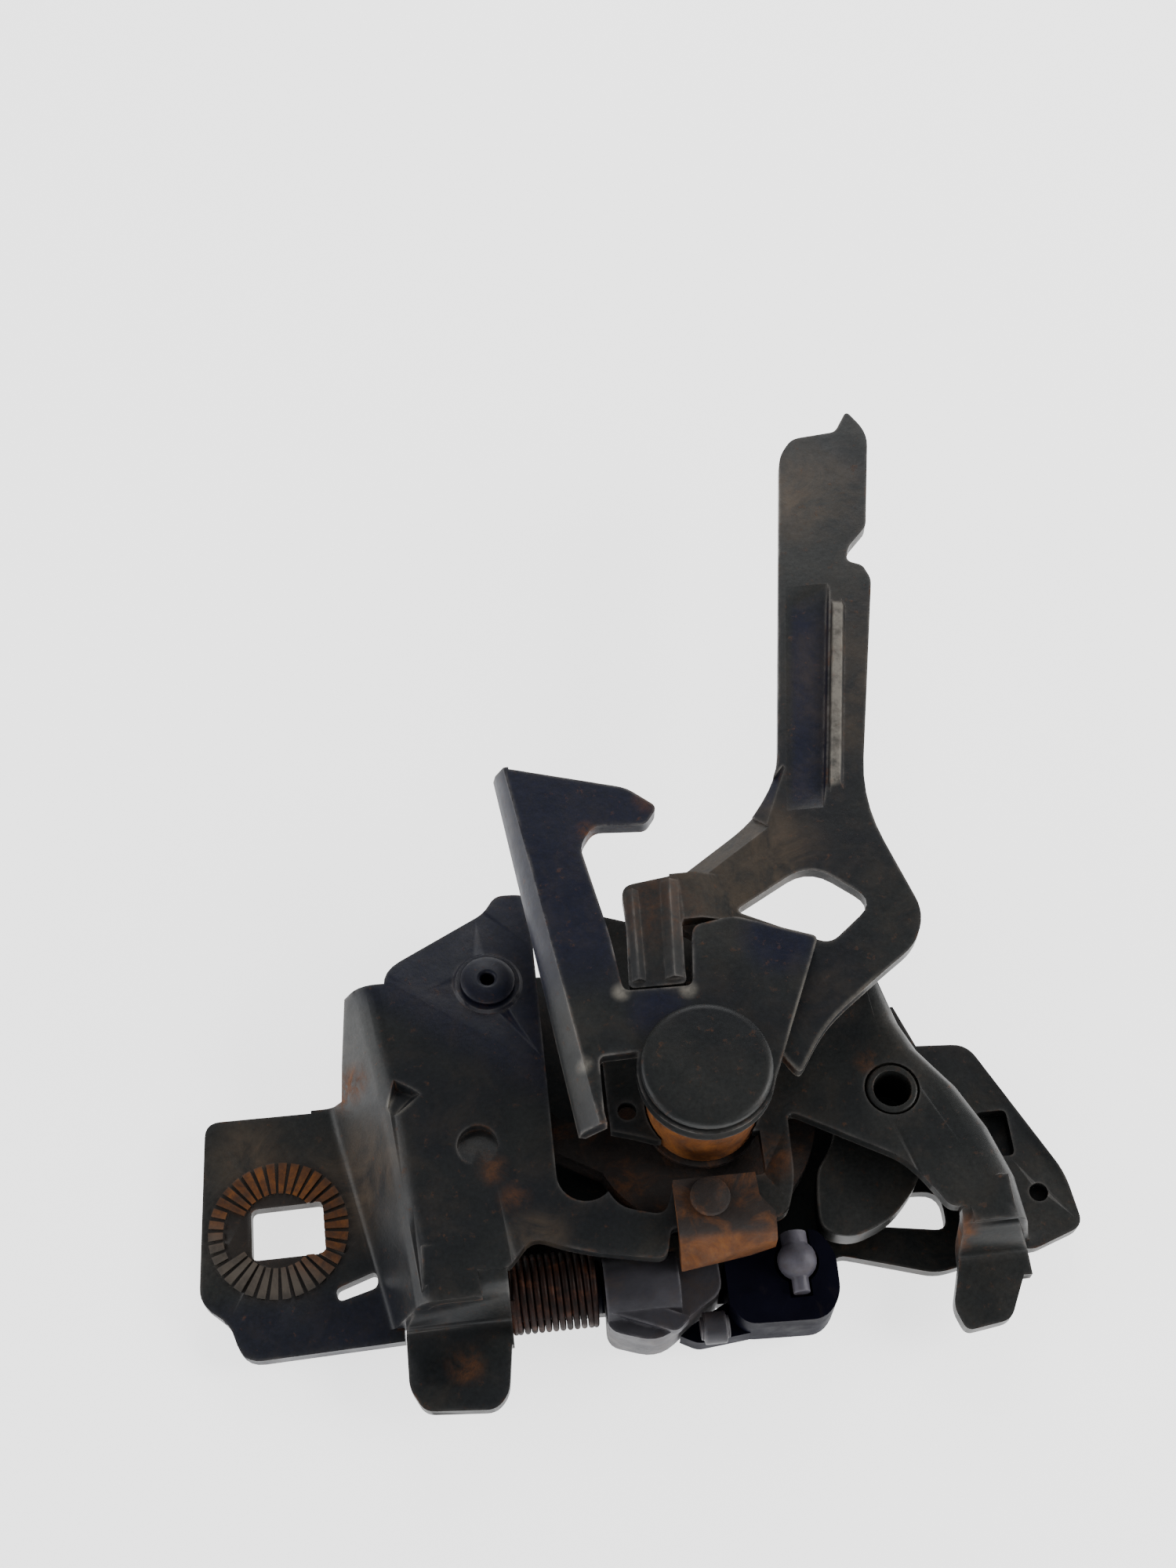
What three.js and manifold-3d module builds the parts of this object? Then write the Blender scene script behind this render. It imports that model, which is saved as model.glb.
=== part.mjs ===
// Vehicle bonnet latch: striker claw, release pawl and safety catch on a pressed steel base.
// Millimetres. The latch lies on its back: +Z out of the front face, +Y towards the tip of the
// safety lever, +X to the right. The back plate's rear face is z = 0.
import * as THREE from "three";
import { mergeVertices } from "three/addons/utils/BufferGeometryUtils.js";
import Module from "manifold-3d";

const wasm = await Module();
wasm.setup();

// ---- driving dimensions -------------------------------------------------------------------
const SHEET = 2.3; // pressed steel thickness of base and back plate
const GAP = 0.3; // air left between touching pieces
const SHIFT = 14; // layout is drawn about the stud; the row's origin is 14 mm to its left
const FACE_Z = 18; // front surface of the raised face
const EAR_Z = SHEET + GAP; // rear surface of the mounting ears
const LEG_Z = 8.5; // front surface of the two legs
const BEND = 4.2; // mid-surface radius of the main bends
const PIVOT = [-1.5, 2]; // main stud: claw and safety catch turn here
const PAWL = [28, 1]; // pawl pivot
const RIVET = [-32.8, 25.9]; // hollow spacer rivet at the upper left
const CLAW_Z = 6.5; // rear surface of the claw
const CLAW_T = 5;
const SEAT_Z = 13.1; // top of the claw's front bush, where the collar and its washer begin
const LEVER_Z = 26.4; // rear surface of the safety lever
const LEVER_T = 2.4;
const HOOK_Z = LEVER_Z + LEVER_T + GAP; // rear surface of the hook plate
const HOOK_T = 2.6;
const LEVER_RIVETS = [[8, 14.2], [12.8, 19.8]]; // blind rivets from the lever into the hook plate
const RIVET_SINK = 1.2; // how far they reach into the hook plate
const SLOT_X = -20.5; // centre of the striker slot
const SLOT_W = 9;
const SLOT_END = -12; // lower end of the striker slot
const CREASE = [[-50.8, 23.4], [-26.1, 5.4]]; // the face's upper left leans back beyond this line
const CREASE_STEPS = [0, 1.1, 2.2, 3.3, 4.4, 5.5]; // the bend is shared by lines this far past it
const CREASE_TILT = Math.tan((1.5 * Math.PI) / 180); // slope added at each of them
const ADJUSTER = [-68.6, -7.4]; // centre of the serrated ring on the left ear
const LANCE = [-36.5, -1.6]; // half-round impression low on the face

// ---- geometry helpers ---------------------------------------------------------------------
function solid(geometry) {
  let g = geometry.clone();
  g.deleteAttribute("normal");
  g.deleteAttribute("uv");
  g = mergeVertices(g, 1e-4);
  const mesh = new wasm.Mesh({
    numProp: 3,
    vertProperties: new Float32Array(g.attributes.position.array),
    triVerts: new Uint32Array(g.index.array),
  });
  return new wasm.Manifold(mesh);
}

function geometryOf(body) {
  const mesh = body.getMesh();
  const g = new THREE.BufferGeometry();
  g.setAttribute("position", new THREE.BufferAttribute(mesh.vertProperties, 3));
  g.setIndex(new THREE.BufferAttribute(mesh.triVerts, 1));
  return g;
}

function union(list) {
  return list.reduce((a, b) => a.add(b));
}

function cut(body, list) {
  return list.reduce((a, b) => a.subtract(b), body);
}

// Flat plate from a closed outline of [x, y] or [x, y, corner radius] points.
function outline(points) {
  const shape = new THREE.Shape();
  const n = points.length;
  for (let i = 0; i < n; i++) {
    const [x, y, r = 0] = points[i];
    const here = new THREE.Vector2(x, y);
    const before = new THREE.Vector2(...points[(i + n - 1) % n].slice(0, 2));
    const after = new THREE.Vector2(...points[(i + 1) % n].slice(0, 2));
    const back = before.clone().sub(here);
    const on = after.clone().sub(here);
    const reach = Math.min(r, back.length() * 0.49, on.length() * 0.49);
    const p = here.clone().add(back.setLength(Math.max(reach, 1e-6)));
    const q = here.clone().add(on.setLength(Math.max(reach, 1e-6)));
    if (i === 0) shape.moveTo(p.x, p.y);
    else shape.lineTo(p.x, p.y);
    if (reach > 0.05) shape.quadraticCurveTo(x, y, q.x, q.y);
  }
  shape.closePath();
  return shape;
}

function plate(points, z, t, segments = 5) {
  const shape = Array.isArray(points) ? outline(points) : points;
  const options = { depth: t, bevelEnabled: false, curveSegments: segments };
  return solid(new THREE.ExtrudeGeometry(shape, options).translate(0, 0, z));
}

function disc(x, y, r, z, t, n = 32) {
  const g = new THREE.CylinderGeometry(r, r, t, n).rotateX(Math.PI / 2);
  return solid(g.translate(x, y, z + t / 2));
}

function box(x0, x1, y0, y1, z0, z1) {
  const g = new THREE.BoxGeometry(x1 - x0, y1 - y0, z1 - z0);
  return solid(g.translate((x0 + x1) / 2, (y0 + y1) / 2, (z0 + z1) / 2));
}

function ring(x, y, rOut, rIn, z, t, n = 32) {
  return disc(x, y, rOut, z, t, n).subtract(disc(x, y, rIn, z - 1, t + 2, n));
}

// Turned part about a vertical axis: profile of [radius, z].
function turned(x, y, profile, n = 32) {
  const points = profile.map(([r, z]) => new THREE.Vector2(r, z));
  const g = new THREE.LatheGeometry(points, n).rotateX(Math.PI / 2);
  return solid(g.translate(x, y, 0));
}

// Closed solid through a row of matching closed sections, each an array of [x, y, z].
function loft(sections) {
  const m = sections[0].length;
  const position = sections.flat(2);
  const index = [];
  for (let s = 0; s + 1 < sections.length; s++) {
    for (let i = 0; i < m; i++) {
      const a = s * m + i;
      const b = s * m + ((i + 1) % m);
      index.push(a, b, b + m, a, b + m, a + m);
    }
  }
  const half = m / 2;
  const last = (sections.length - 1) * m;
  for (let i = 0; i + 1 < half; i++) {
    const [a, b, c, d] = [i, i + 1, m - 2 - i, m - 1 - i];
    index.push(a, c, b, a, d, c);
    index.push(last + a, last + b, last + c, last + a, last + c, last + d);
  }
  const g = new THREE.BufferGeometry();
  g.setAttribute("position", new THREE.Float32BufferAttribute(position, 3));
  g.setIndex(index);
  const body = solid(g);
  if (body.volume() > 0) return body;
  const flipped = [];
  for (let i = 0; i < index.length; i += 3) flipped.push(index[i], index[i + 2], index[i + 1]);
  g.setIndex(flipped);
  return solid(g);
}

// Bent sheet: the mid line [u, z] with corner radius, thickened to t; returns 2n section points.
function bentSection(corners, t, steps = 5) {
  const line = [];
  const n = corners.length;
  corners.forEach(([u, z, r = 0], i) => {
    const here = new THREE.Vector2(u, z);
    if (i === 0 || i === n - 1 || r === 0) {
      line.push(here);
      return;
    }
    const before = new THREE.Vector2(...corners[i - 1].slice(0, 2)).sub(here);
    const after = new THREE.Vector2(...corners[i + 1].slice(0, 2)).sub(here);
    const angle = Math.abs(before.angleTo(after));
    const reach = Math.min(r / Math.tan(angle / 2), before.length() / 2, after.length() / 2);
    const p = here.clone().add(before.setLength(reach));
    const q = here.clone().add(after.setLength(reach));
    for (let k = 0; k <= steps; k++) {
      const s = k / steps;
      const a = p.clone().lerp(here, s);
      const b = here.clone().lerp(q, s);
      line.push(a.lerp(b, s));
    }
  });
  const upper = [];
  const lower = [];
  line.forEach((p, i) => {
    const a = line[Math.max(i - 1, 0)];
    const b = line[Math.min(i + 1, line.length - 1)];
    const d = b.clone().sub(a).normalize();
    upper.push([p.x - (d.y * t) / 2, p.y + (d.x * t) / 2]);
    lower.unshift([p.x + (d.y * t) / 2, p.y - (d.x * t) / 2]);
  });
  return [...upper, ...lower];
}

// Round wire along a curve.
function wire(curve, steps, radius, sides = 7) {
  const shape = new THREE.Shape();
  for (let i = 0; i < sides; i++) {
    const a = (2 * Math.PI * i) / sides;
    if (i === 0) shape.moveTo(radius * Math.cos(a), radius * Math.sin(a));
    else shape.lineTo(radius * Math.cos(a), radius * Math.sin(a));
  }
  shape.closePath();
  return new THREE.ExtrudeGeometry(shape, { steps, extrudePath: curve, bevelEnabled: false });
}

class Helix extends THREE.Curve {
  constructor(radius, turns, pitch, start = 0) {
    super();
    Object.assign(this, { radius, turns, pitch, start });
  }
  getPoint(t, target = new THREE.Vector3()) {
    const a = this.start + 2 * Math.PI * this.turns * t;
    const z = this.pitch * this.turns * t;
    return target.set(this.radius * Math.cos(a), this.radius * Math.sin(a), z);
  }
}

// Distance of a point past the crease line.
function pastCrease(x, y) {
  const [[x0, y0], [x1, y1]] = CREASE;
  return ((x - x0) * (y0 - y1) + (y - y0) * (x1 - x0)) / Math.hypot(x1 - x0, y1 - y0);
}

// Lowers everything above z = low that lies past the crease, as the leaning face does.
function leanBack(body, low) {
  return body.warp((v) => {
    if (v[2] < low) return;
    const past = pastCrease(v[0], v[1]);
    for (const step of CREASE_STEPS) v[2] -= CREASE_TILT * Math.max(0, past - step);
  });
}

// Bends the face along the crease, left of the striker slot only. The union leaves specks of no
// volume along the bend, so the one real body is kept.
function creaseFace(body) {
  const far = 200;
  const [[x0, y0], [x1, y1]] = CREASE;
  const normal = [y0 - y1, x1 - x0].map((v) => v / Math.hypot(x1 - x0, y1 - y0));
  const base = normal[0] * x0 + normal[1] * y0;
  const left = box(-far, SLOT_X, -far, far, -far, far);
  let kept = body.subtract(left);
  let rest = body.intersect(left);
  for (const step of CREASE_STEPS) {
    const [past, near] = rest.splitByPlane([normal[0], normal[1], 0], base + step);
    kept = kept.add(near);
    rest = past.warp((v) => {
      v[2] -= CREASE_TILT * Math.max(0, pastCrease(v[0], v[1]) - step);
    });
  }
  const whole = kept.add(rest);
  return whole.decompose().reduce((a, b) => (a.volume() > b.volume() ? a : b));
}

// Flat strip on the left of the line from p to q.
function strip(p, q, width, z, t) {
  const d = new THREE.Vector2(q[0] - p[0], q[1] - p[1]).normalize();
  const n = [-d.y * width, d.x * width];
  const points = [p, q, [q[0] + n[0], q[1] + n[1]], [p[0] + n[0], p[1] + n[1]]];
  return plate(points, z, t);
}

// ---- base pressing ------------------------------------------------------------------------
function faceOutline() {
  return [
    [-43, -20], [-34.5, -21], [-33, -20.5, 2], [-29.6, -16.6, 2], [-22, -19.6, 4], [-9.8, -22, 2],
    [-8.8, -17.4, 1], [8.8, -17.4, 2], [10.8, -12, 3], [11.2, -0.7, 2], [27.5, -10, 3],
    [30.2, -13.2, 3], [33.4, -18.5, 2], [36, -18.6], [40, -17], [36, -1], [28, 6],
    [26.6, 20.6, 3], [-16, 36, 2], [-25.6, 42.6, 2], [-30.4, 42.6, 1.5], [-32.6, 39.2, 1.5],
    [-50, 28.9, 4], [-48, 20], [-45.4, 7.6],
  ];
}

function slotCutter() {
  const half = SLOT_W / 2;
  const x0 = SLOT_X - half;
  const x1 = SLOT_X + half;
  const lead = 32; // where the flared mouth of the slot begins
  const round = disc(SLOT_X, SLOT_END + half, half, FACE_Z - 6, 10);
  const mouth = plate([[x0, lead], [x1, lead], [x1 + 5, 45], [x0 - 0.6, 45]], FACE_Z - 6, 10);
  return union([round, box(x0, x1, SLOT_END + half, lead + 0.1, FACE_Z - 6, FACE_Z + 4), mouth]);
}

function leftSkirt() {
  // y, x of the top bend, x of the foot
  const stations = [[-24.6, -45.6, -50.6], [-10, -47.2, -54], [7.6, -49, -58.2], [11.6, -49.6, -58.9],
    [27, -52.6, -60]];
  const mid = SHEET / 2;
  return loft(stations.map(([y, top, foot]) => {
    const corners = [[top + 8, FACE_Z - mid], [top, FACE_Z - mid, BEND], [foot, EAR_Z + mid, BEND],
      [foot - 4, EAR_Z + mid]];
    return bentSection(corners, SHEET).map(([x, z]) => [x, y, z]);
  }));
}

function rightSkirt() {
  const stations = [[-21, 43.6, 46.2], [-14, 43, 45.6], [-6, 40.6, 42.6], [1, 37, 39.6],
    [7.5, 32, 35.4], [12.6, 29.8, 32.8], [20, 28.2, 30.2]];
  const mid = SHEET / 2;
  return loft(stations.map(([y, top, foot]) => {
    const corners = [[top - 7, FACE_Z - mid], [top, FACE_Z - mid, 3], [foot, EAR_Z + mid, 2.2],
      [foot + 3, EAR_Z + mid]];
    return bentSection(corners, SHEET).map(([x, z]) => [x, y, z]);
  }));
}

// Step down to a leg between two side lines, each [x at the face, x at the leg].
function legStep(sides, yTop, yFoot) {
  const mid = SHEET / 2;
  const corners = [[yTop + 6, FACE_Z - mid], [yTop, FACE_Z - mid, 3.2], [yFoot, LEG_Z - mid, 2.6],
    [yFoot - 4.5, LEG_Z - mid]];
  const section = bentSection(corners, SHEET);
  const down = (z) => Math.min(1, Math.max(0, (FACE_Z - z) / (FACE_Z - LEG_Z)));
  return loft(sides.map(([high, low]) => section.map(([y, z]) => [
    high + (low - high) * down(z), y, z])));
}

function leftLeg() {
  const pad = [[-49.6, -27], [-49.6, -34.4, 1], [-47.6, -38.2, 1.5], [-37, -39, 2],
    [-34.9, -36.8, 1.5], [-33.6, -27]];
  return union([legStep([[-46, -49.6], [-33.6, -33.6]], -22.2, -25.2),
    plate(pad, LEG_Z - SHEET, SHEET)]);
}

function rightLeg() {
  const pad = [[35, -24.6], [32.9, -31, 1.5], [34.2, -34.8, 1.2], [41.2, -33.8, 1.5], [45.8, -24.6]];
  return union([legStep([[35, 35], [43, 45.8]], -20.4, -22.8), plate(pad, LEG_Z - SHEET, SHEET)]);
}

function leftEar() {
  const edge = [[-56, 11.4], [-79.8, 11.5, 2.4], [-81, -17.4, 2.2], [-76.4, -21.4, 1.5],
    [-74.4, -27.4, 3], [-50, -26.6], [-50, -20], [-55, 0]];
  const pad = plate(edge, EAR_Z, SHEET);
  const teeth = [];
  const count = 34; // radial serrations round the adjusting hole
  const outer = 10.9;
  const half = (r) => 0.062 * r;
  for (let i = 0; i < count; i++) {
    const inner = Math.abs(i - count / 2) < 3 ? 8.6 : 6; // the ring is plain on its left
    const tooth = plate([[inner, -half(inner)], [outer, -half(outer)], [outer, half(outer)],
      [inner, half(inner)]], 0, SHEET + 0.4);
    teeth.push(tooth.rotate([0, 0, (360 * i) / count]).translate([...ADJUSTER, EAR_Z]));
  }
  const hole = plate([[-72.8, -3.6, 1], [-61.6, -3.4, 1], [-61.4, -11.7, 1], [-72.8, -11.8, 1]],
    EAR_Z - 1, SHEET + 3);
  const drain = plate([[-3.4, -1, 0.9], [3, -1.2, 1.1], [3.6, 1.3, 1.1], [-3.2, 1.1, 0.9]], -4, 13)
    .rotate([0, 0, 17]).translate([-56.8, -17.6, EAR_Z]);
  return { body: union([pad, ...teeth]), holes: [hole, drain] };
}

function rightEar() {
  const edge = [[35, 12.8], [44, 12.2, 2.5], [55.2, -10.8, 2.5], [56.2, -19.6, 2], [47, -22.8, 2],
    [42, -20], [42, -12], [37, 4]];
  const hole = plate([[43, 0.4, 1], [48, 0.4, 1], [48, -7.2, 1], [43, -7.2, 1]], EAR_Z - 1, SHEET + 3);
  const small = disc(50.4, -13.6, 1.5, EAR_Z - 1, SHEET + 3, 20);
  return { body: plate(edge, EAR_Z, SHEET), holes: [hole, small] };
}

function basePlate() {
  const face = plate(faceOutline(), FACE_Z - SHEET, SHEET);
  const left = leftEar();
  const right = rightEar();
  const trim = loft([[28, -75, -44], [11.9, -75, -44]].map(([y, x0, x1], i) => {
    const low = -2;
    const high = i === 0 ? 13.5 : 7.5;
    return [[x0, y, high], [x1, y, high], [x1, y, low], [x0, y, low]];
  }));
  const dimple = turned(...RIVET, [[0, FACE_Z - 1], [5.6, FACE_Z - 1], [5.6, FACE_Z],
    [5.1, FACE_Z + 0.55], [0, FACE_Z + 0.55]]);
  // sinks towards its upper edge and runs out into the face at its lower one
  const lance = disc(0, 0, 3.1, 0, 4, 28).rotate([-12, 0, 0]).translate([...LANCE, FACE_Z - 0.7]);
  const opening = plate([[-17, -1, 1], [-12.4, -2.4, 1], [-9.2, -3.6], [6.6, -3.6], [6.6, -10.6, 1],
    [-7.6, -10.8, 1], [-9.3, -15.4, 2], [-16, -13.4, 2], [-19, -8]], FACE_Z - 6, 10);
  // three-cornered dart over the fold, deepest below its upper edge
  const dart = wasm.Manifold.hull([[-48.8, 11.4, 19.6], [-42.6, 7.4, 20], [-51.6, 2, 18],
    [-48.4, 9.6, 16], [-46, 8, 16.5]]);
  const body = union([face, leftSkirt(), rightSkirt(), leftLeg(), rightLeg(), left.body, right.body,
    dimple]);
  return creaseFace(cut(body, [...left.holes, ...right.holes, trim, slotCutter(), opening, dart, lance,
    disc(...PIVOT, 9, 10, 12, 44), disc(...PAWL, 4.3, 10, 12, 28), disc(...RIVET, 2.6, 10, 12, 24),
    disc(-13.2, 1.6, 1.5, 10, 12, 20)]));
}

// ---- back plate ---------------------------------------------------------------------------
function backPlate() {
  const edge = [[-53, 9, 3], [-44, 22, 4], [-30, 33, 3], [-16, 32, 3], [24, 18, 4], [36, 10, 3],
    [49, 3, 2], [53.6, -9, 3], [53, -17, 3], [44, -19, 2], [38, -23, 2], [32.6, -24, 2],
    [17.4, -19.4, 2], [13, -25.6, 2], [-34, -24.4, 3], [-52, -22, 3]];
  const view = plate([[23, -15.4, 1.5], [35.5, -17.4, 2], [35.5, -11, 3], [27, -10.6, 3]],
    -1, SHEET + 3);
  return cut(plate(edge, 0, SHEET), [view, disc(...PIVOT, 4.4, -1, 6), disc(...PAWL, 4.3, -1, 6, 28),
    disc(...RIVET, 2.6, -1, 6, 24)]);
}

// ---- fixed pieces on the pivots -----------------------------------------------------------
function mainStud() {
  const head = HOOK_Z + HOOK_T + GAP;
  return turned(...PIVOT, [[0, 0], [4.1, 0], [4.1, SHEET + GAP], [4.9, SHEET + GAP],
    [4.9, head], [9.9, head], [9.9, head + 0.6], [9.5, head + 1.1], [8.6, head + 1.4],
    [0, head + 1.5]], 48);
}

function pivotCollar() {
  const low = SEAT_Z + 2 * GAP + 1;
  const high = HOOK_Z - GAP;
  return turned(...PIVOT, [[7.7, low], [8.4, low], [8.7, low + 0.4], [8.7, high - 0.3],
    [8.4, high], [5.2, high], [5.2, high - 2], [7.7, high - 2], [7.7, low]], 44);
}

function collarWasher() {
  return ring(...PIVOT, 9.4, 5.2, SEAT_Z + GAP, 1, 40);
}

function clawBush(z0, z1) {
  return turned(...PIVOT, [[5.2, z0], [8.4, z0], [8.8, z0 + 0.4], [8.8, z1 - 0.4],
    [8.4, z1], [5.2, z1], [5.2, z0]], 32);
}

function pawlStud() {
  return turned(...PAWL, [[0, 0], [4, 0], [4, FACE_Z - 0.2], [3.7, FACE_Z], [2.9, FACE_Z],
    [2.9, 7], [0, 7]], 28);
}

function pawlBush() {
  const low = SHEET + GAP;
  return turned(...PAWL, [[4.3, low], [6.6, low], [6.6, CLAW_Z], [4.3, CLAW_Z], [4.3, low]], 28);
}

function hollowRivet() {
  const head = FACE_Z + 0.55 + GAP;
  return leanBack(turned(...RIVET, [[0, 0], [2.3, 0], [2.3, head], [4.3, head],
    [4.4, head + 0.5], [3.4, head + 1.1], [1.5, head + 1.2], [1.1, head + 0.9], [1.1, 8], [0, 8]], 28), 10);
}

function rivetSpacer() {
  return leanBack(ring(...RIVET, 4.6, 2.6, SHEET + GAP, FACE_Z - 2 * SHEET - 2 * GAP, 28),
    10);
}

function stopBracket() {
  const top = FACE_Z + GAP;
  const mid = 1.2;
  const corners = [[-11, top + mid], [-18.2, top + mid, 2.4], [-22.4, 14.4]];
  const section = bentSection(corners, 2 * mid);
  const body = loft([-7.8, 6.8].map((x) => section.map(([y, z]) => [x, y, z])));
  const foot = plate([[-9, -26], [8, -26], [8, -20.6], [-9, -23.6]], 5, 20);
  const shoulder = plate([[4.6, -10], [8, -10], [8, -17.4], [6.9, -17.4], [4.8, -14.6]], 15, 10);
  return cut(body, [foot, shoulder, disc(-2.6, -14.2, 2.1, 10, 14, 24)]);
}

function stopRivet() {
  const top = FACE_Z + GAP + 2.4 + GAP;
  return turned(-2.6, -14.2, [[0, FACE_Z + GAP], [1.8, FACE_Z + GAP], [1.8, top], [3.1, top],
    [2.9, top + 0.6], [1.6, top + 1.1], [0, top + 1.2]], 20);
}

// ---- claw and pawl ------------------------------------------------------------------------
function polar(centre, r, degrees) {
  const a = (degrees * Math.PI) / 180;
  return [centre[0] + r * Math.cos(a), centre[1] + r * Math.sin(a)];
}

function claw() {
  const shape = new THREE.Shape();
  const [px, py] = PIVOT;
  const rad = Math.PI / 180;
  const cam = 18; // the pawl rides this radius
  const start = polar(PIVOT, cam, 205);
  shape.moveTo(start[0], start[1]);
  shape.absarc(px, py, cam, 205 * rad, 268 * rad, false);
  const notch = polar(PIVOT, cam - 4, 268);
  shape.lineTo(notch[0], notch[1]);
  const rise = polar(PIVOT, cam - 3.4, 280);
  shape.lineTo(rise[0], rise[1]);
  shape.lineTo(...polar(PIVOT, cam, 292));
  shape.absarc(px, py, cam, 292 * rad, 350 * rad, false);
  shape.lineTo(...polar(PIVOT, 13, 8));
  shape.absarc(px, py, 12.4, 20 * rad, 84 * rad, false);
  shape.lineTo(-7.6, 22);
  shape.quadraticCurveTo(-9, 26.4, -13.6, 26.2);
  shape.quadraticCurveTo(-15.5, 26, -15.4, 23);
  shape.lineTo(-15.4, 8);
  shape.absarc(SLOT_X, 8, 5.1, 0, -Math.PI, true);
  shape.lineTo(-25.6, 10.4);
  shape.quadraticCurveTo(-27.4, 12, -29, 9.6);
  shape.quadraticCurveTo(-29.8, 3, -25, -1.4);
  shape.closePath();
  const body = plate(shape, CLAW_Z, CLAW_T, 8);
  return cut(body, [disc(px, py, 5.2, 0, 20)]);
}

function clawBuffer() {
  // moulded pad pressed on the front of the claw beside the throat
  const pad = [[-14.6, 22.4, 1], [-9.4, 22.4, 1], [-8, 15, 2], [-12.8, 11, 2], [-14.8, 14, 1]];
  return plate(pad, CLAW_Z + CLAW_T + GAP, 1.6);
}

function pawl() {
  const edge = [[20.4, 2, 3], [21, 6, 3], [26.6, 8.2, 4], [33, 5.6, 4], [35, -1, 4], [32.6, -8, 4],
    [30.2, -12.6, 4], [25.4, -17.6, 4], [19, -19.8, 3], [14.4, -18, 2], [14.6, -12.6, 2],
    [15.4, -8.4, 1.2], [18.4, -4.6, 3]];
  return cut(plate(edge, CLAW_Z + 0.3, CLAW_T - 0.6), [disc(...PAWL, 4.3, 0, 20, 28)]);
}

function pawlSpring() {
  const coil = new Helix(5.9, 2, 1.35, Math.PI * 0.9);
  const z = CLAW_Z + CLAW_T + 0.6;
  const first = coil.getPoint(0);
  const leg = new THREE.LineCurve3(first.clone(), new THREE.Vector3(first.x - 4.5, first.y - 4.5, 0));
  const last = coil.getPoint(1);
  const tail = new THREE.LineCurve3(last.clone(), new THREE.Vector3(last.x - 3, last.y + 9, last.z));
  return union([wire(coil, 32, 0.6, 6), wire(leg, 1, 0.6, 6), wire(tail, 1, 0.6, 6)].map(solid))
    .translate([...PAWL, z]);
}

// ---- release cable end --------------------------------------------------------------------
const CABLE_Y = -22.6; // axis of the spring and cable
const CABLE_Z = 9.2;
const NIPPLE = [9.9, -22.6, 12.4]; // centre of the cable's end piece

function coilSpring() {
  const g = wire(new Helix(5.4, 11.5, 1.06), 172, 0.46, 6).rotateY(Math.PI / 2);
  return solid(g).translate([-33.2, CABLE_Y, CABLE_Z]);
}

function springPin() {
  const g = new THREE.CylinderGeometry(4, 4, 13.6, 20).rotateZ(Math.PI / 2);
  return solid(g.translate(-26.5, CABLE_Y, CABLE_Z));
}

function cableHolder() {
  const edge = [[-19.2, -20.6, 1.5], [-2, -20, 1], [-1.8, -26, 2], [-6.8, -28.8, 2], [-12, -32.6, 4],
    [-19.6, -30, 2]];
  const body = plate(edge, SHEET + GAP, 9.2);
  const barrel = solid(new THREE.CylinderGeometry(5.4, 5.4, 11.2, 24).rotateZ(Math.PI / 2)
    .translate(-13.8, CABLE_Y - 1.4, CABLE_Z + 0.2));
  const rib = plate([[-19.2, -24.2], [-7, -29.6, 1], [-9.4, -31.6, 1], [-19.4, -27.6]], 11, 2.2);
  return union([body, barrel, rib]);
}

function cableCover() {
  const edge = [[-1, -20.6, 1], [7, -20.2, 1], [7.8, -17.8, 1], [13.6, -17.8, 1.5], [16, -21.6, 2],
    [15.8, -28.4, 2.5], [13, -31.6, 2], [1, -31.2, 2], [-1, -28]];
  // tongue that closes the space between cover and holder, below the ferrule
  const tongue = plate([[-1.4, -26.4], [-6.8, -29.2], [-8.6, -30.6], [-6, -32, 1], [2, -31.2], [2, -26]],
    SHEET + GAP, 3.9);
  const shell = plate(edge, SHEET + GAP, 9.2).add(tongue);
  const [x, y, z] = NIPPLE;
  const floor = z - 3.3;
  return cut(shell, [disc(x, y, 3.4, floor, 9), box(x - 2.4, x + 2.4, y, -17, floor, 14),
    box(x - 1.7, x + 1.7, y - 5.4, y, z - 1.7, 14)]);
}

function cableNipple() {
  const bar = (r, from, to) => new THREE.CylinderGeometry(r, r, to - from, 16)
    .translate(NIPPLE[0], (from + to) / 2, NIPPLE[2]);
  const blob = new THREE.SphereGeometry(3, 20, 12).translate(...NIPPLE);
  const parts = [blob, bar(2, NIPPLE[1], NIPPLE[1] + 4.2), bar(1.3, NIPPLE[1] - 5, NIPPLE[1])];
  return union(parts.map(solid));
}

function cableFerrule() {
  const turnedAlongX = (r, length) => solid(new THREE.CylinderGeometry(r, r, length, 20)
    .rotateZ(Math.PI / 2).translate(-3.5, -30.6, 9.4));
  return turnedAlongX(2.4, 3.4).add(turnedAlongX(1.7, 4.4));
}

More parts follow.
